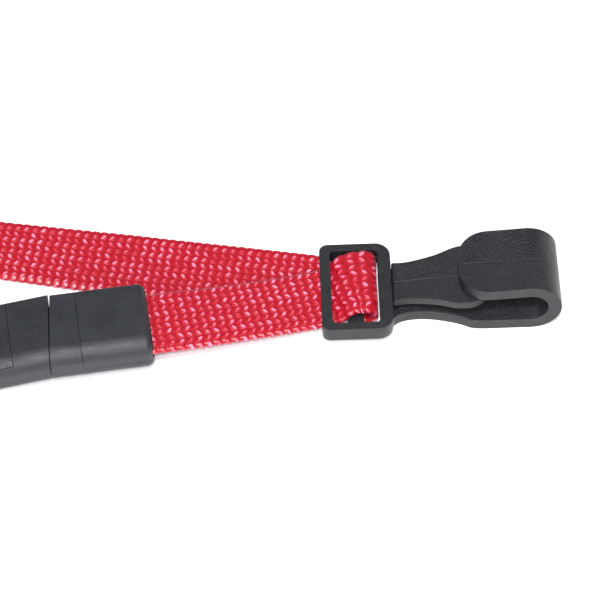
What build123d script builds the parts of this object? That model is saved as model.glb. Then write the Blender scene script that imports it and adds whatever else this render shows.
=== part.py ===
from build123d import *
import math
import os

# Neck lanyard: a flat braided strap threaded through the frame of a wide plastic hook and closed
# by a breakaway clasp. Millimetres, +Z up. The hook lies flat on Z = 0, its bottom centre is the
# origin and its bend points to +X. The strap leaves it towards -X.

# ---- driving dimensions: strap ----
strap_width = 10.0
strap_thick = 1.2
layer_split = 1.32  # height between the two layers
under_z = 0.65  # middle of the layer that lies on the table
upper_z = 2.0  # middle of the layer above it, under the frame's end rail
over_z = 3.3  # middle of the strap where it lies on the crossbar
wrap_width = 10.7  # the strap spreads where it turns round the crossbar
wrap_y = 0.55

# ---- driving dimensions: hook ----
hook_right = 16.5
hook_left = -17.3
hook_width = 11.0
wall = 1.9
bend_height = 8.8
paddle_tip_x = 2.2
paddle_dip = 0.7  # the paddle's tip is this much lower than the bend
tip_radius = 4.2
neck_x = -3.8
neck_half = 3.45
root_half = 4.6
full_width_x = 6.4
frame_length = 10.1
frame_width = 15.4
frame_bottom = 1.4
frame_top = 3.8
end_rail = 1.5
end_rail_bottom = 2.65
side_rail = 1.2
neck_rail = 1.8
near_ledge = 1.0
far_ledge = 0.55
corner_left = 1.2
corner_right = 2.2
window_corner = 0.7
crossbar_x = -12.5
crossbar_width = 2.4
crossbar_top = 2.5

# ---- driving dimensions: gate ----
gate_thick = 1.3
gate_tip_x = 6.6
gate_hinge_z = 3.9
gate_rise = 7.0  # degrees
gate_root_half = 3.5
root_gap = 0.05
gate_corner = 3.0
gate_inset = 0.3  # the tongue is this much narrower than the bend on each side

# ---- driving dimensions: breakaway clasp ----
joint_point = Vector(-55.9, -7.7, 1.8)  # bottom centre of the face where the halves meet
clasp_turn = 6.8  # degrees in plan, towards -Y
plug_turn = 7.4
plug_fall = 6.0  # degrees, the plug half falls away from the socket half
clasp_width = 11.7
clasp_height = 5.1
half_length = 14.5
block_length = 4.5  # solid block of each half beside the joint
base_thick = 1.7
crown_far = 0.9
crown_near = 2.2
bottom_round = 1.1
joint_slant = 1.1  # the joint face leans this much over the clasp's width
mouth_corner = 1.1
hinge_y = 5.3  # the lid's hinge line, from the middle of a half
joint_gap = 0.18
joint_reach = 0.7  # a half starts this much before its joint face, which then cuts it upright
lid_gap = 0.06
lid_wall = 0.45
channel_top = 3.3
slot_z = 2.5  # middle of the strap above the bottom of a half
clamp_start = 5.9
tongue_length = 4.0
tongue_width = 9.4
tongue_bottom = 1.7
tongue_thick = 1.6
socket_clearance = 0.2
prong_gap = 2.2
tooth_height = 0.15
tooth_pitch = 2.2

# ---- driving dimensions: hank, the length that is put away ----
hank_bottom = 0.65
hank_height = 10.2
hank_left = -268.5
fold_half = 16.0  # half width over the loops at the left end
right_flare_x = -116.0
flare_half = 14.5
waist_x = -182.0
waist_half = 6.4
tie_width = 5.0
tie_thick = 0.55
tie_corner = 1.0
tie_slack = 0.2  # between the tie and the hank

# ---- radii of the strap's arcs, to its middle ----
drop_radius = 8.0  # where it leaves the clasp and comes down to the hook
settle_radius = 8.0
step_radius = 0.8  # up from the end rail onto the crossbar
wrap_radius = 0.95  # round the crossbar, a folded end of limp braid
level_radius = 2.0
tail_radius = 5.0
landing_radius = 8.0
mouth_ahead = 0.3  # the strap is straight for this far beyond the mouth of a half
tail_ahead = 1.5
landing_from = 22.5  # the tail comes down to the table here, from the joint
tail_length = 28.0
side_over = 1.5  # the side view runs past both ends of the plan view
level_step = 0.001  # keeps the last two points of a run off one exact level

frame_right = hook_left + frame_length
bend_radius = bend_height / 2
bend_x = hook_right - bend_radius
half_hook = hook_width / 2
crossbar_left = crossbar_x - crossbar_width / 2
crossbar_right = crossbar_x + crossbar_width / 2
window_left = hook_left + end_rail
window_right = frame_right - neck_rail
half_window = frame_width / 2 - side_rail


def leftward(turn, fall=0.0):
    """Unit vector towards -X, turned in plan towards -Y and falling below level, in degrees."""
    turned = math.radians(turn)
    fallen = math.radians(fall)
    return Vector(
        -math.cos(turned) * math.cos(fallen),
        -math.sin(turned) * math.cos(fallen),
        -math.sin(fallen),
    )


# ---- hook body ----
with BuildPart() as hook_body:
    # side view of the bend and of the paddle, which dips towards its tip
    with BuildSketch(Plane.XZ):
        with BuildLine():
            outer = CenterArc((bend_x, bend_radius), bend_radius, -90, 180)
            paddle_top = Line(outer @ 1, (paddle_tip_x, bend_height - paddle_dip))
            tip = Line(paddle_top @ 1, (paddle_tip_x, bend_height - paddle_dip - wall))
            paddle_under = Line(tip @ 1, (bend_x, bend_height - wall))
            inner = CenterArc((bend_x, bend_radius), bend_radius - wall, 90, -180)
            Line(inner @ 1, outer @ 0)
        make_face()
    extrude(amount=half_hook, both=True)
    fillet(hook_body.edges().filter_by(Axis.Z).group_by(Axis.X)[0], tip_radius)
    # bottom strip in plan: a waisted neck that widens to the bend
    with BuildSketch(Plane.XY):
        with BuildLine():
            root = Line((window_right, 0), (window_right, root_half))
            rail = Line(root @ 1, (frame_right, root_half))
            neck = Spline(
                rail @ 1,
                (neck_x, neck_half),
                (0, neck_half + 0.45),
                (2.8, neck_half + 1.35),
                (full_width_x, half_hook),
                tangents=((1, -1.1), (1, 0)),
            )
            far_edge = Line(neck @ 1, (bend_x, half_hook))
            Line(far_edge @ 1, (bend_x, 0))
            mirror(about=Plane.XZ)
        make_face()
    extrude(amount=wall)
    # strap frame
    with BuildSketch(Plane.XY.offset(frame_bottom)) as frame_face:
        with Locations(((hook_left + frame_right) / 2, 0)):
            Rectangle(frame_length, frame_width)
        fillet(frame_face.vertices().group_by(Axis.X)[0], corner_left)
        fillet(frame_face.vertices().group_by(Axis.X)[-1], corner_right)
    extrude(amount=frame_top - frame_bottom)
    with BuildSketch(Plane.XY):
        with Locations(((window_left + window_right) / 2, 0)):
            RectangleRounded(window_right - window_left, 2 * half_window, window_corner)
    extrude(amount=frame_top + 1, mode=Mode.SUBTRACT)
    # room under the end rail for the two layers of the strap
    with BuildSketch(Plane.XY):
        with Locations((hook_left, 0)):
            Rectangle(2 * end_rail + 0.4, 2 * half_window)
    extrude(amount=end_rail_bottom, mode=Mode.SUBTRACT)
    # crossbar, with a ledge at both ends that keeps the strap centred
    with BuildSketch(Plane.XY.offset(frame_bottom)):
        with Locations((crossbar_x, 0)):
            Rectangle(crossbar_width, 2 * half_window + 0.4)
        for side, ledge in ((-1, near_ledge), (1, far_ledge)):
            with Locations(((crossbar_left + window_right) / 2, side * (half_window - ledge / 2))):
                Rectangle(window_right - crossbar_left, ledge)
    extrude(amount=crossbar_top - frame_bottom)
hook_body.part.label = "hook_body"

# ---- gate: the sprung tongue that closes the mouth of the hook ----
gate_hinge = Vector(frame_right + gate_thick / 2 + root_gap, 0, gate_hinge_z)
rise = math.radians(gate_rise)
gate_plane = Plane(
    origin=gate_hinge,
    x_dir=Vector(math.cos(rise), 0, math.sin(rise)),
    z_dir=Vector(0, -1, 0),
)
gate_length = gate_tip_x - gate_hinge.X
with BuildPart() as hook_gate:
    # side view: round root and a straight, rising slab
    with BuildSketch(gate_plane):
        Circle(gate_thick / 2)
        with Locations((gate_length / 2, 0)):
            Rectangle(gate_length, gate_thick)
    extrude(amount=hook_width, both=True)
    # plan view: it follows the neck and ends in round corners
    with BuildSketch(Plane.XY):
        with BuildLine():
            root = Line((frame_right - 1, 0), (frame_right - 1, gate_root_half))
            shoulder = Line(root @ 1, (frame_right + 0.2, gate_root_half))
            side = Spline(
                shoulder @ 1,
                (neck_x, gate_root_half - 0.05),
                (0, gate_root_half + 0.85),
                (gate_tip_x - gate_corner, half_hook - gate_inset),
                tangents=((1, -0.4), (1, 0)),
            )
            corner_centre = (gate_tip_x - gate_corner, half_hook - gate_inset - gate_corner)
            corner = CenterArc(corner_centre, gate_corner, 90, -90)
            Line(corner @ 1, (gate_tip_x, 0))
            mirror(about=Plane.XZ)
        make_face()
    extrude(amount=bend_height, mode=Mode.INTERSECT)
hook_gate.part.label = "hook_gate"

# ---- breakaway clasp ----
# each half has its own plane: origin at the joint, x out along the strap, z up through its height
clasp_way = leftward(clasp_turn)
plug_way = leftward(plug_turn, plug_fall)
plug_across = Vector(0, 0, 1).cross(leftward(plug_turn))
socket_plane = Plane(origin=joint_point, x_dir=-clasp_way, z_dir=Vector(0, 0, 1))
plug_plane = Plane(
    origin=joint_point + clasp_way * joint_gap,
    x_dir=plug_way,
    z_dir=plug_way.cross(plug_across),
)
plug_face_plane = Plane(origin=plug_plane.origin, x_dir=leftward(plug_turn), z_dir=Vector(0, 0, 1))


def clasp_form(plane, face_plane, far_side, slant):
    """Outer form of a half: crowned across the strap, with rounded corners where the strap enters.

    The joint face stands square to face_plane. far_side is the sign of the plane's y on the +Y side,
    and the joint face reaches slant there.
    """
    half = clasp_width / 2
    start = min(0.0, slant - joint_reach)
    overhang = slant / clasp_width
    with BuildPart() as form:
        section = Plane(origin=plane.origin + plane.x_dir * start, x_dir=plane.y_dir, z_dir=plane.x_dir)
        with BuildSketch(section) as end_face:
            with Locations((0, clasp_height / 2)):
                Rectangle(clasp_width, clasp_height)
            first, last = (0, -1) if far_side > 0 else (-1, 0)
            fillet(end_face.vertices().group_by(Axis.Y)[-1].sort_by(Axis.X)[last], crown_far)
            fillet(end_face.vertices().group_by(Axis.Y)[-1].sort_by(Axis.X)[first], crown_near)
            fillet(end_face.vertices().group_by(Axis.Y)[0], bottom_round)
        extrude(amount=half_length - start)
        outer_end = form.faces().sort_by(Axis(plane.origin, plane.x_dir))[-1]
        fillet(outer_end.edges().filter_by(Axis(plane.origin, plane.z_dir)), mouth_corner)
        with BuildSketch(face_plane):
            with BuildLine():
                Polyline(
                    (start - 1, -far_side * (half + 1)),
                    (-overhang, -far_side * (half + 1)),
                    (slant + overhang, far_side * (half + 1)),
                    (start - 1, far_side * (half + 1)),
                    close=True,
                )
            make_face()
        extrude(amount=2 * clasp_height, both=True, mode=Mode.SUBTRACT)
    return form


def clasp_cut(plane, hinge_side, gap):
    """Space that the lid takes: between the block, the hinge line and the base plate."""
    start = block_length + lid_gap - gap
    with BuildPart() as space:
        with BuildSketch(plane.offset(base_thick + lid_gap - gap)):
            with Locations((start, hinge_side * (hinge_y + gap))):
                align_y = Align.MAX if hinge_side > 0 else Align.MIN
                Rectangle(half_length, clasp_width + 1, align=(Align.MIN, align_y))
        extrude(amount=clasp_height)
    return space


def clasp_channel(plane):
    """Room for the strap between the base plate and the lid's roof."""
    with BuildPart() as channel:
        with BuildSketch(plane.offset(base_thick)):
            with Locations((block_length + lid_wall + lid_gap, 0)):
                Rectangle(half_length, clasp_width - 2 * lid_wall, align=(Align.MIN, Align.CENTER))
        extrude(amount=channel_top - base_thick)
    return channel


def teeth(plane, bottom, rows):
    """Ridges across the strap that grip it."""
    with BuildPart() as ridges:
        with BuildSketch(plane.offset(bottom)):
            with Locations((block_length + half_length / 3, 0)):
                with GridLocations(tooth_pitch, 0, rows, 1):
                    Rectangle(tooth_pitch / 5, strap_width)
        extrude(amount=tooth_height)
    return ridges


with BuildPart() as socket_body:
    add(clasp_form(socket_plane, socket_plane, 1, joint_slant).part)
    add(clasp_cut(socket_plane, 1, lid_gap).part, mode=Mode.SUBTRACT)
    add(clasp_channel(socket_plane).part, mode=Mode.SUBTRACT)
    add(teeth(socket_plane, base_thick, 3).part)
    # socket for the tongue of the other half
    with BuildSketch(socket_plane.offset(tongue_bottom - socket_clearance)):
        with Locations(((tongue_length + socket_clearance) / 2 - 0.5, 0)):
            Rectangle(tongue_length + socket_clearance + 1, tongue_width + 2 * socket_clearance)
    extrude(amount=tongue_thick + 2 * socket_clearance, mode=Mode.SUBTRACT)
socket_body.part.label = "socket_body"

with BuildPart() as plug_body:
    add(clasp_form(plug_plane, plug_face_plane, -1, -joint_slant).part)
    add(clasp_cut(plug_plane, 1, lid_gap).part, mode=Mode.SUBTRACT)
    add(clasp_channel(plug_plane).part, mode=Mode.SUBTRACT)
    add(teeth(plug_plane, base_thick, 3).part)
    # tongue, split into two prongs that can spring together
    with BuildSketch(socket_plane.offset(tongue_bottom)):
        with Locations((tongue_length / 2 - 1, 0)):
            Rectangle(tongue_length + 2, tongue_width)
        with Locations((tongue_length / 2 + 0.4, 0)):
            Rectangle(tongue_length, prong_gap, mode=Mode.SUBTRACT)
    extrude(amount=tongue_thick)
plug_body.part.label = "plug_body"

with BuildPart() as socket_lid:
    add(clasp_form(socket_plane, socket_plane, 1, joint_slant).part)
    add(clasp_cut(socket_plane, 1, 0).part, mode=Mode.INTERSECT)
    add(clasp_channel(socket_plane).part, mode=Mode.SUBTRACT)
    add(teeth(socket_plane, channel_top - tooth_height, 2).part)
socket_lid.part.label = "socket_lid"

with BuildPart() as plug_lid:
    add(clasp_form(plug_plane, plug_face_plane, -1, -joint_slant).part)
    add(clasp_cut(plug_plane, 1, 0).part, mode=Mode.INTERSECT)
    add(clasp_channel(plug_plane).part, mode=Mode.SUBTRACT)
    add(teeth(plug_plane, channel_top - tooth_height, 2).part)
plug_lid.part.label = "plug_lid"

# ---- strap: from the socket half to the hook, over its crossbar and back under it ----
clamp_point = socket_plane.from_local_coords(Vector(clamp_start, 0, slot_z))
mouth_point = socket_plane.from_local_coords(Vector(half_length + mouth_ahead, 0, slot_z))
drop_x = (crossbar_right + window_right) / 2
under_start = Vector(drop_x, 1.8)
under_end = Vector(-70.0, 12.6)
lead_radii = (
    drop_radius,
    settle_radius,
    step_radius,
    step_radius,
    wrap_radius,
    wrap_radius,
    level_radius,
)
with BuildPart() as strap_lead:
    # plan outlines of the upper layer, the wrap and the lower layer
    with BuildSketch(Plane.XY.offset(layer_split)):
        with BuildLine():
            Polyline((clamp_point.X, clamp_point.Y), (mouth_point.X, mouth_point.Y), (crossbar_left, 0.1))
        trace(line_width=strap_width)
    extrude(amount=bend_height)
    with BuildSketch(Plane.XY):
        with BuildLine():
            Line((under_start.X, under_start.Y), (under_end.X, under_end.Y))
        trace(line_width=strap_width)
    extrude(amount=layer_split)
    with BuildSketch(Plane.XY):
        with Locations(((crossbar_left + window_right) / 2, wrap_y)):
            Rectangle(window_right - crossbar_left + 1, wrap_width)
    extrude(amount=bend_height)
    # side view of the whole run
    with BuildSketch(Plane.XZ):
        with BuildLine():
            lead_side = FilletPolyline(
                (clamp_point.X - side_over, clamp_point.Z),
                (mouth_point.X + 2, clamp_point.Z),
                (-20.0, upper_z),
                (window_left + 0.3, upper_z),
                (crossbar_left - 0.3, over_z),
                (drop_x, over_z),
                (drop_x, under_z),
                (crossbar_left, under_z),
                (under_end.X - side_over, under_z + level_step),
                radius=lead_radii,
            )
        trace(line_width=strap_thick)
    extrude(amount=30, both=True, mode=Mode.INTERSECT)
strap_lead.part.label = "strap_lead"

# ---- strap: from the plug half to the hank ----
tail_plane = Plane(origin=joint_point, x_dir=clasp_way, z_dir=clasp_way.cross(Vector(0, 0, 1)))
tail_from = plug_plane.from_local_coords(Vector(clamp_start, 0, slot_z))
tail_mouth = plug_plane.from_local_coords(Vector(half_length + tail_ahead, 0, slot_z))
tail_end = joint_point + clasp_way * tail_length
with BuildPart() as strap_tail:
    with BuildSketch(tail_plane):
        with BuildLine():
            tail_side = FilletPolyline(
                (tail_plane.to_local_coords(tail_from).X, tail_plane.to_local_coords(tail_from).Y),
                (tail_plane.to_local_coords(tail_mouth).X, tail_plane.to_local_coords(tail_mouth).Y),
                (landing_from, under_z - joint_point.Z),
                (tail_length, under_z - joint_point.Z + level_step),
                radius=(tail_radius, landing_radius),
            )
        trace(line_width=strap_thick)
    extrude(amount=strap_width / 2, both=True)
strap_tail.part.label = "strap_tail"

# ---- strap: the length that is put away, folded into four runs that stand on edge ----
inlet = strap_width / 2 + 0.3
with BuildPart() as strap_hank:
    with BuildSketch(Plane.XY.offset(hank_bottom)):
        with BuildLine():
            lead_face = Line(
                (under_end.X + 0.8, under_end.Y + inlet),
                (under_end.X - 1.0, under_end.Y - inlet),
            )
            lead_leg = Line(lead_face @ 1, (-90.0, 0.0))
            tail_leg = Line(lead_leg @ 1, (tail_end.X - 0.7, tail_end.Y + inlet))
            tail_face = Line(tail_leg @ 1, (tail_end.X + 0.6, tail_end.Y - inlet))
            throat = Line(tail_face @ 1, (right_flare_x, -flare_half))
            near_side = Spline(
                throat @ 1,
                (waist_x, -waist_half),
                (hank_left + fold_half, -fold_half),
                tangents=((-1, 0.02), (-1, 0)),
            )
            left_end = CenterArc((hank_left + fold_half, 0), fold_half, -90, -180)
            far_side = Spline(
                left_end @ 1,
                (waist_x, waist_half),
                (right_flare_x, flare_half),
                tangents=((1, 0), (1, 0.02)),
            )
            Line(far_side @ 1, lead_face @ 0)
        make_face()
    extrude(amount=hank_height)
strap_hank.part.label = "strap_hank"

# ---- tie round the hank's waist ----
with BuildPart() as strap_tie:
    with BuildSketch(Plane.YZ.offset(waist_x - tie_width / 2)):
        with Locations((0, hank_bottom + hank_height / 2)):
            RectangleRounded(
                2 * (waist_half + tie_slack + tie_thick),
                hank_height + tie_slack / 2 + 2 * tie_thick,
                tie_corner,
            )
            Rectangle(2 * (waist_half + tie_slack), hank_height + tie_slack / 2, mode=Mode.SUBTRACT)
    extrude(amount=tie_width)
strap_tie.part.label = "strap_tie"

os.makedirs("parts", exist_ok=True)
for name, piece in (
    ("hook_body", hook_body),
    ("hook_gate", hook_gate),
    ("socket_body", socket_body),
    ("socket_lid", socket_lid),
    ("plug_body", plug_body),
    ("plug_lid", plug_lid),
    ("strap_lead", strap_lead),
    ("strap_tail", strap_tail),
    ("strap_hank", strap_hank),
    ("strap_tie", strap_tie),
):
    export_step(piece.part, "parts/" + name + ".step")

# ---- the strap's arcs and its volume beside section times length ----
print("strap_lead arc radii, mm:", *lead_radii)
print("strap_tail arc radii, mm:", tail_radius, landing_radius)
section = strap_width * strap_thick
for name, piece, run_length in (
    ("strap_lead", strap_lead, lead_side.length - 2 * side_over),
    ("strap_tail", strap_tail, tail_side.length),
):
    print(name, "volume", round(piece.part.volume), "section x length", round(section * run_length))
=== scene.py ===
import math

import bmesh
import bpy
import numpy as np
from mathutils import Matrix, Vector


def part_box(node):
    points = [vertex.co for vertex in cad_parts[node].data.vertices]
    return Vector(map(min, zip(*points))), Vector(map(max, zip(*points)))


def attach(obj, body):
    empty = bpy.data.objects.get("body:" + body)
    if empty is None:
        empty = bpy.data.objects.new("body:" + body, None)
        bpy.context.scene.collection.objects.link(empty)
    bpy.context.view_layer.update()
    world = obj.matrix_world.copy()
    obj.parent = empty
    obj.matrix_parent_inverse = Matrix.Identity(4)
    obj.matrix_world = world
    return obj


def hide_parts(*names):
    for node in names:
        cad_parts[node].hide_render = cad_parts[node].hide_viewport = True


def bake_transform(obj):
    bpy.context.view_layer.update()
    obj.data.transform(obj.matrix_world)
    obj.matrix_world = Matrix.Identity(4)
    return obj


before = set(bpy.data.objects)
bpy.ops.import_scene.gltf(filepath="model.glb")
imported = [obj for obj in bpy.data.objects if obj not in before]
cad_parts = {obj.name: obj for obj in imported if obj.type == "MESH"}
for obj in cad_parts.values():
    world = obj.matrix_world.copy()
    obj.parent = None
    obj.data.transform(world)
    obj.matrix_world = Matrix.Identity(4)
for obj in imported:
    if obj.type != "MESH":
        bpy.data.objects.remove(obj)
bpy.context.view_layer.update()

MM = 0.001
UP = (0, 0, 1)

CAMERA_TARGET = (-20.25, 0.80, 0.0)
CAMERA_AZIMUTH = -0.6
CAMERA_ELEVATION = 52.0
CAMERA_ROLL = -1.5
CAMERA_DISTANCE = 450.0
CAMERA_LENS = 189.0
LIGHT_AIM = (-0.02, 0, 0)
FLOOR_HALF = 3.0
FLOOR_DROP = 0.02  # millimetres under the object


# ---- camera, floor and light ----
def make_camera():
    """A long lens that looks down at the hook and the clasp from the front."""
    azimuth = math.radians(CAMERA_AZIMUTH)
    elevation = math.radians(CAMERA_ELEVATION)
    roll = math.radians(CAMERA_ROLL)
    target = Vector(CAMERA_TARGET) * MM
    back = Vector(
        (
            math.sin(azimuth) * math.cos(elevation),
            -math.cos(azimuth) * math.cos(elevation),
            math.sin(elevation),
        )
    )
    level = (-back).cross(Vector(UP)).normalized()
    upright = level.cross(-back)
    right = level * math.cos(roll) + upright * math.sin(roll)
    up = upright * math.cos(roll) - level * math.sin(roll)
    data = bpy.data.cameras.new("camera")
    data.lens = CAMERA_LENS
    data.sensor_width = 36.0
    data.clip_start = 0.01
    data.clip_end = 20.0
    camera = bpy.data.objects.new("camera", data)
    bpy.context.scene.collection.objects.link(camera)
    place = Matrix((right, up, back)).transposed().to_4x4()
    place.translation = target + back * CAMERA_DISTANCE * MM
    camera.matrix_world = place
    bpy.context.scene.camera = camera


def area_light(name, place, size, power, colour=(1, 1, 1)):
    data = bpy.data.lights.new(name, "AREA")
    data.shape = "RECTANGLE"
    data.size, data.size_y = size
    data.energy = power
    data.color = colour
    light = bpy.data.objects.new(name, data)
    bpy.context.scene.collection.objects.link(light)
    light.location = place
    light.rotation_euler = (Vector(LIGHT_AIM) - Vector(place)).to_track_quat("-Z", "Y").to_euler()


def make_studio():
    """Plain pale floor under soft lights."""
    world = bpy.data.worlds.new("studio")
    world.use_nodes = True
    back = world.node_tree.nodes["Background"]
    back.inputs["Color"].default_value = (0.90, 0.95, 1.0, 1)
    back.inputs["Strength"].default_value = 0.27
    bpy.context.scene.world = world
    bpy.context.scene.view_settings.view_transform = "Standard"
    area_light("key", (-0.03, -0.25, 0.55), (0.10, 0.08), 3.3)
    area_light("flash", (-0.03, -0.31, 0.43), (0.05, 0.04), 1.7)
    area_light("fill", (-0.16, -0.44, 0.34), (0.40, 0.30), 1.7, (0.92, 0.96, 1.0))
    area_light("top", (0.02, 0.10, 0.65), (0.30, 0.20), 0.8)

    mesh = bpy.data.meshes.new("floor")
    corners = [(FLOOR_HALF * x, FLOOR_HALF * y, 0) for x, y in ((-1, -1), (1, -1), (1, 1), (-1, 1))]
    mesh.from_pydata(corners, [], [(0, 1, 2, 3)])
    floor = bpy.data.objects.new("floor", mesh)
    bpy.context.scene.collection.objects.link(floor)
    floor.location.z = -FLOOR_DROP * MM
    material = bpy.data.materials.new("floor")
    material.use_nodes = True
    shader = material.node_tree.nodes["Principled BSDF"]
    shader.inputs["Base Color"].default_value = (0.95, 0.95, 0.95, 1)
    shader.inputs["Roughness"].default_value = 0.8
    mesh.materials.append(material)


# ---- materials ----
def new_material(name):
    material = bpy.data.materials.new(name)
    material.use_nodes = True
    tree = material.node_tree
    return material, tree.nodes, tree.links, tree.nodes["Principled BSDF"]


def map_range(nodes, links, source, low, high, to_low, to_high):
    node = nodes.new("ShaderNodeMapRange")
    node.inputs["From Min"].default_value = low
    node.inputs["From Max"].default_value = high
    node.inputs["To Min"].default_value = to_low
    node.inputs["To Max"].default_value = to_high
    links.new(source, node.inputs["Value"])
    return node.outputs["Result"]


def combine(nodes, links, operation, first, second):
    node = nodes.new("ShaderNodeMath")
    node.operation = operation
    links.new(first, node.inputs[0])
    links.new(second, node.inputs[1])
    return node.outputs["Value"]


def noise(nodes, links, place, scale, detail):
    node = nodes.new("ShaderNodeTexNoise")
    node.inputs["Scale"].default_value = scale
    node.inputs["Detail"].default_value = detail
    links.new(place, node.inputs["Vector"])
    return node.outputs["Fac"]


def stretched(nodes, links, place, scale):
    node = nodes.new("ShaderNodeMapping")
    node.inputs["Scale"].default_value = scale
    links.new(place, node.inputs["Vector"])
    return node.outputs["Vector"]


def relief(nodes, links, shader, height, strength, distance):
    bump = nodes.new("ShaderNodeBump")
    bump.inputs["Strength"].default_value = strength
    bump.inputs["Distance"].default_value = distance * MM
    links.new(height, bump.inputs["Height"])
    links.new(bump.outputs["Normal"], shader.inputs["Normal"])


def shade(nodes, links, shader, source, low, high):
    """Colour that goes from low to high with the source. Each is a position and a colour."""
    ramp = nodes.new("ShaderNodeValToRGB")
    for element, (position, colour) in zip(ramp.color_ramp.elements, (low, high)):
        element.position = position
        element.color = (*colour, 1)
    links.new(source, ramp.inputs["Fac"])
    links.new(ramp.outputs["Color"], shader.inputs["Base Color"])
    return ramp.color_ramp


def hook_material():
    """Black moulded plastic, coarse beyond the parting line and on the bottom strip."""
    material, nodes, links, shader = new_material("hook_plastic")
    shader.inputs["IOR"].default_value = 1.47
    place = nodes.new("ShaderNodeTexCoord").outputs["Object"]
    axes = nodes.new("ShaderNodeSeparateXYZ")
    links.new(place, axes.inputs["Vector"])
    grain = nodes.new("ShaderNodeTexVoronoi")
    grain.inputs["Scale"].default_value = 3600.0
    links.new(place, grain.inputs["Vector"])
    fine = noise(nodes, links, place, 6500.0, 2.0)
    broad = noise(nodes, links, place, 420.0, 4.0)
    past_frame = map_range(nodes, links, axes.outputs["X"], -7.15 * MM, -7.05 * MM, 0.0, 1.0)
    far_side = map_range(nodes, links, axes.outputs["Y"], -0.02 * MM, 0.12 * MM, 0.30, 1.0)
    strip = map_range(nodes, links, axes.outputs["Z"], 2.0 * MM, 2.3 * MM, 0.9, 0.0)
    either = combine(nodes, links, "MAXIMUM", far_side, strip)
    coarse_side = combine(nodes, links, "MULTIPLY", past_frame, either)
    height = combine(nodes, links, "MULTIPLY", grain.outputs["Distance"], coarse_side)
    height = combine(nodes, links, "ADD", height, map_range(nodes, links, fine, 0.3, 0.7, 0.0, 0.55))
    # the parting line stands up a little along the middle
    rise = map_range(nodes, links, axes.outputs["Y"], -0.10 * MM, 0.0, 0.0, 1.0)
    fall = map_range(nodes, links, axes.outputs["Y"], 0.0, 0.10 * MM, 1.0, 0.0)
    line = combine(nodes, links, "MULTIPLY", rise, fall)
    line = combine(nodes, links, "MULTIPLY", line, past_frame)
    height = combine(nodes, links, "ADD", height, line)
    relief(nodes, links, shader, height, 1.0, 0.11)
    links.new(map_range(nodes, links, broad, 0.35, 0.70, 0.32, 0.46), shader.inputs["Roughness"])
    shade(nodes, links, shader, broad, (0.30, (0.0055, 0.0061, 0.0076)), (0.75, (0.0095, 0.0105, 0.0130)))
    return material


def clasp_material():
    """Black moulded plastic with a satin face that is finely brushed along the strap."""
    material, nodes, links, shader = new_material("clasp_plastic")
    shader.inputs["IOR"].default_value = 1.5
    place = nodes.new("ShaderNodeTexCoord").outputs["Object"]
    brushed = noise(nodes, links, stretched(nodes, links, place, (0.6, 1.0, 1.0)), 8500.0, 3.0)
    broad = noise(nodes, links, place, 260.0, 5.0)
    relief(nodes, links, shader, brushed, 1.0, 0.085)
    links.new(map_range(nodes, links, broad, 0.35, 0.70, 0.36, 0.50), shader.inputs["Roughness"])
    shade(nodes, links, shader, broad, (0.30, (0.0080, 0.0092, 0.0122)), (0.75, (0.0130, 0.0147, 0.0190)))
    return material


def rubber_material():
    """Dull black rubber with fine lines round the band."""
    material, nodes, links, shader = new_material("black_rubber")
    shader.inputs["IOR"].default_value = 1.5
    place = nodes.new("ShaderNodeTexCoord").outputs["Object"]
    lines = noise(nodes, links, stretched(nodes, links, place, (1.0, 0.08, 0.08)), 5000.0, 2.0)
    relief(nodes, links, shader, lines, 0.5, 0.04)
    links.new(map_range(nodes, links, lines, 0.3, 0.7, 0.55, 0.72), shader.inputs["Roughness"])
    shade(nodes, links, shader, lines, (0.0, (0.012, 0.012, 0.013)), (1.0, (0.026, 0.026, 0.028)))
    return material


def braid_material():
    """Glossy red yarn. The braid attribute is 0 between the yarns and 1 on a yarn's crest; the colour
    follows it, with painted shade between the yarns and a painted pink highlight on the crests.
    """
    material, nodes, links, shader = new_material("red_braid")
    height = nodes.new("ShaderNodeAttribute")
    height.attribute_name = "braid"
    place = nodes.new("ShaderNodeTexCoord").outputs["Object"]
    fibres = noise(nodes, links, place, 9000.0, 2.0)
    stray = map_range(nodes, links, fibres, 0.3, 0.7, -0.12, 0.12)
    level = combine(nodes, links, "ADD", height.outputs["Fac"], stray)
    # painted shade and painted highlight: the red darkens between the yarns and turns pink on each yarn's
    # crest as a painted glint
    ramp = shade(nodes, links, shader, level, (0.0, (0.25, 0.0028, 0.009)), (0.98, (0.90, 0.27, 0.42)))
    for position, colour in ((0.40, (0.31, 0.0040, 0.012)), (0.84, (0.36, 0.0055, 0.018))):
        ramp.elements.new(position).color = (*colour, 1)
    relief(nodes, links, shader, fibres, 0.35, 0.03)
    shader.inputs["Roughness"].default_value = 0.32
    shader.inputs["IOR"].default_value = 1.43
    shader.inputs["Sheen Weight"].default_value = 0.14
    shader.inputs["Sheen Roughness"].default_value = 0.35
    shader.inputs["Sheen Tint"].default_value = (1.0, 0.35, 0.55, 1)
    return material


# ---- strap ----
STRAP_WIDTH = 10.0
STRAP_THICK = 1.2
LANES = 20  # slanting yarn lanes round the flattened tube, two to each column of stitches
PITCH = 1.27  # length of one stitch of the braid
LEAN = 0.42  # a yarn slants by this part of a stitch over its lane
COLUMN_SHIFT = 0.06  # every second column is this part of a stitch ahead
BRAID_DEPTH = 0.22
EDGE_SWELL = 0.08  # the tube's folded edges bulge by this much
CROWN = 0.10  # the middle of the strap's upper face stands up by this much
LOWEST_YARN = 0.86  # the flattest yarns, as a part of the full height
YARN_ROWS = 4096
YARN_SEED = 7
NEAR_STEP, NEAR_AROUND = 0.16, 140  # mesh of the strap beside the plastic parts
FAR_STEP, FAR_AROUND = 0.254, 80  # mesh of the length that is put away


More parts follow.
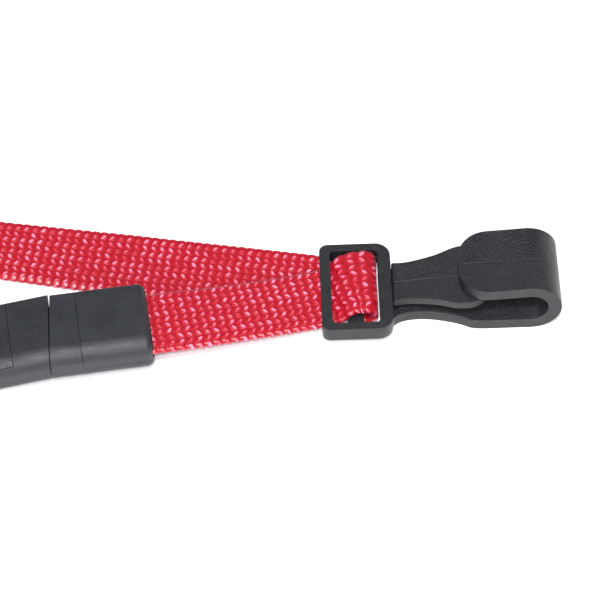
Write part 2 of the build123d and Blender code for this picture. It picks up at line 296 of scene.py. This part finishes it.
def smooth_line(name, points):
    """Points along the smooth NURBS line whose control points are given, in millimetres."""
    curve = bpy.data.curves.new(name, "CURVE")
    curve.dimensions = "3D"
    spline = curve.splines.new("NURBS")
    spline.points.add(len(points) - 1)
    for target, point in zip(spline.points, points):
        target.co = (*point, 1)
    spline.order_u = 3
    spline.use_endpoint_u = True
    spline.resolution_u = 40
    holder = bpy.data.objects.new(name, curve)
    mesh = bpy.data.meshes.new_from_object(holder)
    line = np.array([v.co for v in mesh.vertices])
    bpy.data.objects.remove(holder)
    bpy.data.curves.remove(curve)
    bpy.data.meshes.remove(mesh)
    return line


def arc_length(line):
    return np.concatenate(([0.0], np.cumsum(np.linalg.norm(np.diff(line, axis=0), axis=1))))


def resample(line, step):
    """The same line in even steps of about the given length."""
    along = arc_length(line)
    count = max(2, int(round(along[-1] / step)))
    even = np.linspace(0, along[-1], count + 1)
    return np.stack([np.interp(even, along, line[:, k]) for k in range(3)], axis=1), even


def unit(rows):
    return rows / np.linalg.norm(rows, axis=-1, keepdims=True)


def nearest_rows(line, points):
    """Row of the line beside each control point, in order along it."""
    rows, start = [], 0
    for point in points[:-1]:
        ahead = np.linalg.norm(line[start : start + max(8, len(line) // 5)] - np.array(point), axis=1)
        start += int(np.argmin(ahead))
        rows.append(start)
    rows.append(len(line) - 1)
    return np.maximum.accumulate(rows)


def along_line(line, rows, values):
    """Values given at the control points, spread evenly along the line between them."""
    columns = np.array(values, float).reshape(len(rows), -1).T
    return np.stack([np.interp(np.arange(len(line)), rows, column) for column in columns], axis=1)


def braid_height(stitch, lane):
    """Height of the braid, 0 to 1: short yarns that lean one way and the other in zigzag rows."""
    number = np.floor(lane).astype(int)
    b = lane - number
    lean = np.where(number % 2 < 1, b, 1 - b)
    phase = stitch - LEAN * lean + COLUMN_SHIFT * ((number // 2) % 2)
    row = np.floor(phase).astype(int)
    f = phase - row
    uneven = np.random.RandomState(YARN_SEED).uniform(LOWEST_YARN, 1.0, (YARN_ROWS, LANES))
    across_yarn = np.clip(1 - (2 * f - 1) ** 2, 0, 1) ** 0.7
    along_yarn = 0.42 + 0.58 * np.clip(1 - (2 * b - 1) ** 2, 0, 1) ** 0.4
    return across_yarn * along_yarn * uneven[row % YARN_ROWS, number % LANES]


def tube_outline(around):
    """Points in even steps round the flattened tube, the way out from each, and its place in lanes."""
    half_t = STRAP_THICK / 2 - BRAID_DEPTH
    flat = STRAP_WIDTH / 2 - STRAP_THICK / 2
    turn = np.linspace(-math.pi / 2, math.pi / 2, 24)
    outline = np.concatenate(
        (
            np.stack((flat + (half_t + EDGE_SWELL) * np.cos(turn), half_t * np.sin(turn)), axis=1),
            np.stack((-flat - (half_t + EDGE_SWELL) * np.cos(turn), -half_t * np.sin(turn)), axis=1),
        )
    )
    outline = np.vstack((outline, outline[:1]))
    girth = arc_length(outline)
    even = np.linspace(0, girth[-1], around, endpoint=False)
    ring = np.stack([np.interp(even, girth, outline[:, k]) for k in range(2)], axis=1)
    way = unit(np.roll(ring, -1, axis=0) - np.roll(ring, 1, axis=0))
    out = np.stack((way[:, 1], -way[:, 0]), axis=1)
    return ring, out, even / girth[-1] * LANES


def ribbon(name, stations, step, around):
    """A closed strap along the smooth line through its stations, with its braid as real relief.

    A station is a place, the direction of the width and, where they differ, the width and the crown.
    """
    points = [station[0] for station in stations]
    directions = [station[1] for station in stations]
    widths = [station[2] if len(station) > 2 else STRAP_WIDTH for station in stations]
    crowns = [station[3] if len(station) > 3 else CROWN for station in stations]
    line, along = resample(smooth_line(name, points), step)
    rows = nearest_rows(line, points)
    tangent = unit(np.gradient(line, axis=0))
    across = along_line(line, rows, directions)
    across = unit(across - tangent * np.sum(across * tangent, axis=1, keepdims=True))
    normal = np.cross(tangent, across)
    width = along_line(line, rows, widths)
    crown = along_line(line, rows, crowns)

    ring, out, lane = tube_outline(around)
    height = braid_height((along / PITCH)[:, None], lane[None, :])
    bulge = 1 - (ring[:, 0] / (STRAP_WIDTH / 2)) ** 2
    wide = ring[None, :, 0] * width / STRAP_WIDTH + out[None, :, 0] * height * BRAID_DEPTH
    level = ring[None, :, 1] + out[None, :, 1] * height * BRAID_DEPTH
    level = level + np.where(ring[None, :, 1] > 0, 1, 0) * crown * bulge[None, :]
    places = (
        line[:, None, :] + across[:, None, :] * wide[:, :, None] + normal[:, None, :] * level[:, :, None]
    ) * MM
    count, columns = height.shape
    index = np.arange(count * columns).reshape(count, columns)
    after = np.roll(index, -1, axis=1)
    quads = np.stack((index[:-1], index[1:], after[1:], after[:-1]), axis=-1).reshape(-1, 4)
    faces = quads.tolist()
    faces.append(index[0].tolist())
    faces.append(index[-1][::-1].tolist())
    piece = new_piece(name, places.reshape(-1, 3).tolist(), faces)
    braid = piece.data.attributes.new("braid", "FLOAT", "POINT")
    braid.data.foreach_set("value", height.reshape(-1).astype(np.float32))
    return piece, line * MM, along[-1] * MM


def new_piece(name, places, faces):
    mesh = bpy.data.meshes.new(name)
    mesh.from_pydata(places, [], faces)
    mesh.polygons.foreach_set("use_smooth", [True] * len(mesh.polygons))
    piece = bpy.data.objects.new(name, mesh)
    bpy.context.scene.collection.objects.link(piece)
    return piece


def tilted(flat, degrees):
    """Direction of the strap's width, turned this far from lying flat to standing on edge."""
    a = math.radians(degrees)
    return (flat[0] * math.cos(a), flat[1] * math.cos(a), math.sin(a))


UPPER = (-0.200, 0.980, 0)
LOWER = (0.178, 0.984, 0)
CLASP = (-0.118, 0.993, 0)
PLUG = (-0.129, 0.992, 0)
# from the clamp in the socket half to the hook, over its crossbar and back under it:
# place, direction of the width, width, crown
FRONT = [
    ((-50.0, -7.00, 4.30), CLASP, 10.0, 0.05),
    ((-46.0, -6.55, 4.30), CLASP, 10.0, 0.05),
    ((-42.0, -6.10, 4.30), (-0.130, 0.990, 0), 10.3, 0.08),
    ((-38.0, -5.45, 4.15), UPPER, 10.5, 0.15),
    ((-30.0, -3.75, 3.10), UPPER, 10.0, 0.15),
    ((-21.5, -1.65, 2.12), UPPER, 10.0, 0.12),
    ((-17.6, -0.80, 2.00), (-0.190, 0.980, 0), 10.0, 0.05),
    ((-15.6, -0.35, 2.10), (-0.120, 0.993, 0), 10.2, 0.05),
    ((-13.9, 0.35, 3.30), (-0.060, 0.998, 0), 10.9, 0.15),
    ((-12.4, 0.75, 3.62), (0, 1, 0), 11.1, 0.25),
    ((-10.1, 0.90, 3.60), (0, 1, 0), 11.1, 0.15),
    ((-9.68, 0.95, 2.05), (0, 1, 0), 10.9, 0.0),
    ((-10.1, 1.05, 0.78), (0.02, 1, 0), 10.6, 0.0),
    ((-12.6, 1.70, 0.76), (0.08, 0.996, 0), 10.2, 0.0),
    ((-18.0, 2.95, 0.70), LOWER, 10.5, 0.05),
    ((-30.0, 5.05, 0.66), LOWER, 10.8, 0.10),
    ((-45.0, 7.65, 0.65), LOWER, 11.1, 0.10),
    ((-58.0, 10.25, 0.65), LOWER, 10.5, 0.10),
    ((-70.0, 12.60, 0.65), LOWER, 10.0, 0.10),
]
# the length that is put away: it turns on edge and lies in four runs between two folds and an end loop
BACK = [
    ((-70.0, 12.60, 0.65), LOWER),
    ((-76.0, 13.60, 0.80), tilted(LOWER, 3)),
    ((-82.0, 14.30, 2.55), tilted(LOWER, 20)),
    ((-88.0, 14.60, 4.20), tilted(LOWER, 42)),
    ((-94.0, 14.50, 5.10), tilted(LOWER, 65)),
    ((-101.0, 13.90, 5.35), tilted(LOWER, 85)),
    ((-112.0, 12.30, 5.25), UP),
    ((-132.0, 9.40, 5.50), UP),
    ((-160.0, 6.10, 5.75), UP),
    ((-182.0, 5.40, 5.75), UP),
    ((-204.0, 6.10, 5.75), UP),
    ((-228.0, 10.00, 5.50), UP),
    ((-246.0, 14.60, 5.25), UP),
    ((-261.0, 15.20, 5.20), UP),
    ((-268.0, 7.50, 5.20), UP),
    ((-267.0, -7.00, 5.20), UP),
    ((-260.0, -15.00, 5.20), UP),
    ((-246.0, -14.20, 5.25), UP),
    ((-228.0, -9.80, 5.50), UP),
    ((-204.0, -6.10, 5.75), UP),
    ((-182.0, -5.40, 5.75), UP),
    ((-160.0, -6.10, 5.75), UP),
    ((-138.0, -9.40, 5.50), UP),
    ((-122.0, -13.60, 5.25), UP),
    ((-112.5, -12.60, 5.20), UP),
    ((-109.5, -6.80, 5.20), UP),
    ((-113.5, -1.80, 5.20), UP),
    ((-124.0, -1.60, 5.30), UP),
    ((-140.0, -2.60, 5.55), UP),
    ((-160.0, -2.10, 5.75), UP),
    ((-182.0, -1.80, 5.75), UP),
    ((-204.0, -2.20, 5.75), UP),
    ((-226.0, -5.20, 5.50), UP),
    ((-242.0, -8.60, 5.25), UP),
    ((-254.0, -8.40, 5.20), UP),
    ((-259.5, -3.20, 5.20), UP),
    ((-259.5, 3.60, 5.20), UP),
    ((-254.0, 8.60, 5.20), UP),
    ((-242.0, 8.80, 5.25), UP),
    ((-226.0, 5.40, 5.50), UP),
    ((-204.0, 2.20, 5.75), UP),
    ((-182.0, 1.80, 5.75), UP),
    ((-160.0, 2.20, 5.75), UP),
    ((-138.0, 4.20, 5.50), UP),
    ((-118.0, 5.40, 5.25), UP),
    ((-107.0, 3.60, 5.25), UP),
    ((-101.0, -1.00, 5.30), tilted((0.6, 0.8), 78)),
    ((-96.0, -6.00, 4.75), tilted((0.5, 0.87), 55)),
    ((-91.5, -9.20, 3.20), tilted((0.2, 0.98), 30)),
    ((-87.5, -10.70, 1.45), tilted(CLASP, 9)),
    ((-83.7, -11.02, 0.66), CLASP),
]
# between the hank and the clamp in the plug half
TAIL = [
    ((-83.7, -11.02, 0.66), CLASP),
    ((-80.5, -10.65, 0.68), CLASP),
    ((-77.5, -10.30, 1.15), CLASP),
    ((-74.5, -9.98, 2.15), CLASP),
    ((-72.0, -9.78, 2.65), PLUG),
    ((-70.5, -9.60, 2.80), PLUG),
    ((-66.0, -9.03, 3.26), PLUG),
    ((-62.1, -8.50, 3.67), PLUG),
]


# ---- plastic parts and the tie ----
MERGE = 0.002
FLAT_ANGLE = math.radians(1.0)
EDGE_ANGLE = math.radians(32)
EDGE_STEPS = 4


def moulded(node, body, edge, material):
    """A copy of a CAD shape with the rounded edges of a moulding."""
    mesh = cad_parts[node].data.copy()
    mesh.name = node + "_moulded"
    form = bmesh.new()
    form.from_mesh(mesh)
    bmesh.ops.remove_doubles(form, verts=form.verts, dist=MERGE * MM)
    bmesh.ops.dissolve_limit(form, angle_limit=FLAT_ANGLE, verts=form.verts, edges=form.edges)
    form.to_mesh(mesh)
    form.free()
    holder = bpy.data.objects.new(node + "_holder", mesh)
    bpy.context.scene.collection.objects.link(holder)
    bevel = holder.modifiers.new("edges", "BEVEL")
    bevel.width = edge * MM
    bevel.segments = EDGE_STEPS
    bevel.limit_method = "ANGLE"
    bevel.angle_limit = EDGE_ANGLE
    bevel.harden_normals = True
    evaluated = holder.evaluated_get(bpy.context.evaluated_depsgraph_get())
    finished = bpy.data.meshes.new_from_object(evaluated)
    finished.name = node + "_moulded"
    bpy.data.objects.remove(holder)
    piece = bpy.data.objects.new(node + "_moulded", finished)
    bpy.context.scene.collection.objects.link(piece)
    finished.materials.clear()
    finished.materials.append(material)
    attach(piece, body)
    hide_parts(node)
    return piece


def rounded(values, power):
    """A sine or cosine pulled out towards the corners of a square."""
    return np.sign(values) * np.abs(values) ** power


def make_tie():
    """A stretched rubber band round the hank's waist, with rounded edges."""
    thick = 0.55
    rows, loops = 20, 96
    low, high = (np.array(corner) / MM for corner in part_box("strap_tie"))
    centre = (low + high) / 2
    half = (high - low) / 2
    turn = np.linspace(0, 2 * math.pi, loops, endpoint=False)
    loop_y = (half[1] - thick / 2) * rounded(np.cos(turn), 0.42)
    loop_z = (half[2] - thick / 2) * rounded(np.sin(turn), 0.42)
    loop = np.stack((loop_y, loop_z), axis=1)
    way = unit(np.roll(loop, -1, axis=0) - np.roll(loop, 1, axis=0))
    out = np.stack((way[:, 1], -way[:, 0]), axis=1)
    section = np.linspace(0, 2 * math.pi, rows, endpoint=False)
    across = half[0] * rounded(np.cos(section), 0.35)
    proud = thick / 2 * rounded(np.sin(section), 0.8)
    # the band is a little narrower over the top, and wanders a little along the strap
    narrowing = 1 - 0.04 * np.abs(np.sin(turn))
    wander = 0.12 * np.sin(3 * turn + 0.6)
    places = np.zeros((loops, rows, 3))
    places[:, :, 0] = centre[0] + across[None, :] * narrowing[:, None] + wander[:, None]
    places[:, :, 1] = centre[1] + loop[:, None, 0] + out[:, None, 0] * proud[None, :]
    places[:, :, 2] = centre[2] + loop[:, None, 1] + out[:, None, 1] * proud[None, :]
    index = np.arange(loops * rows).reshape(loops, rows)
    beside = np.roll(index, -1, axis=0)
    faces = np.stack((index, beside, np.roll(beside, -1, axis=1), np.roll(index, -1, axis=1)), axis=-1)
    piece = new_piece("tie_band", (places.reshape(-1, 3) * MM).tolist(), faces.reshape(-1, 4).tolist())
    piece.data.materials.append(rubber_material())
    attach(piece, "strap_and_hook")
    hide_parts("strap_tie")
    return piece


def make_strap(tie):
    red = braid_material()
    front, front_path, front_length = ribbon("strap_front", FRONT, NEAR_STEP, NEAR_AROUND)
    back, back_path, back_length = ribbon("strap_back", BACK, FAR_STEP, FAR_AROUND)
    tail, _, _ = ribbon("strap_tail_run", TAIL, NEAR_STEP, NEAR_AROUND)
    for piece in (front, back, tail):
        piece.data.materials.append(red)
    for piece in (front, back):
        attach(piece, "strap_and_hook")
    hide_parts("strap_lead")
    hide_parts("strap_hank")
    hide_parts("strap_tail")
    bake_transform(tail)
    print("strap lengths", front_length, back_length)


make_camera()
make_studio()
hook_plastic = hook_material()
clasp_plastic = clasp_material()
moulded("hook_body", "strap_and_hook", 0.68, hook_plastic)
moulded("hook_gate", "gate", 0.45, hook_plastic)
socket_pieces = [
    moulded("socket_body", "strap_and_hook", 0.16, clasp_plastic),
    moulded("socket_lid", "socket_cover", 0.12, clasp_plastic),
]
plug_pieces = [
    moulded("plug_body", "plug", 0.16, clasp_plastic),
    moulded("plug_lid", "plug_cover", 0.12, clasp_plastic),
]
make_strap(make_tie())
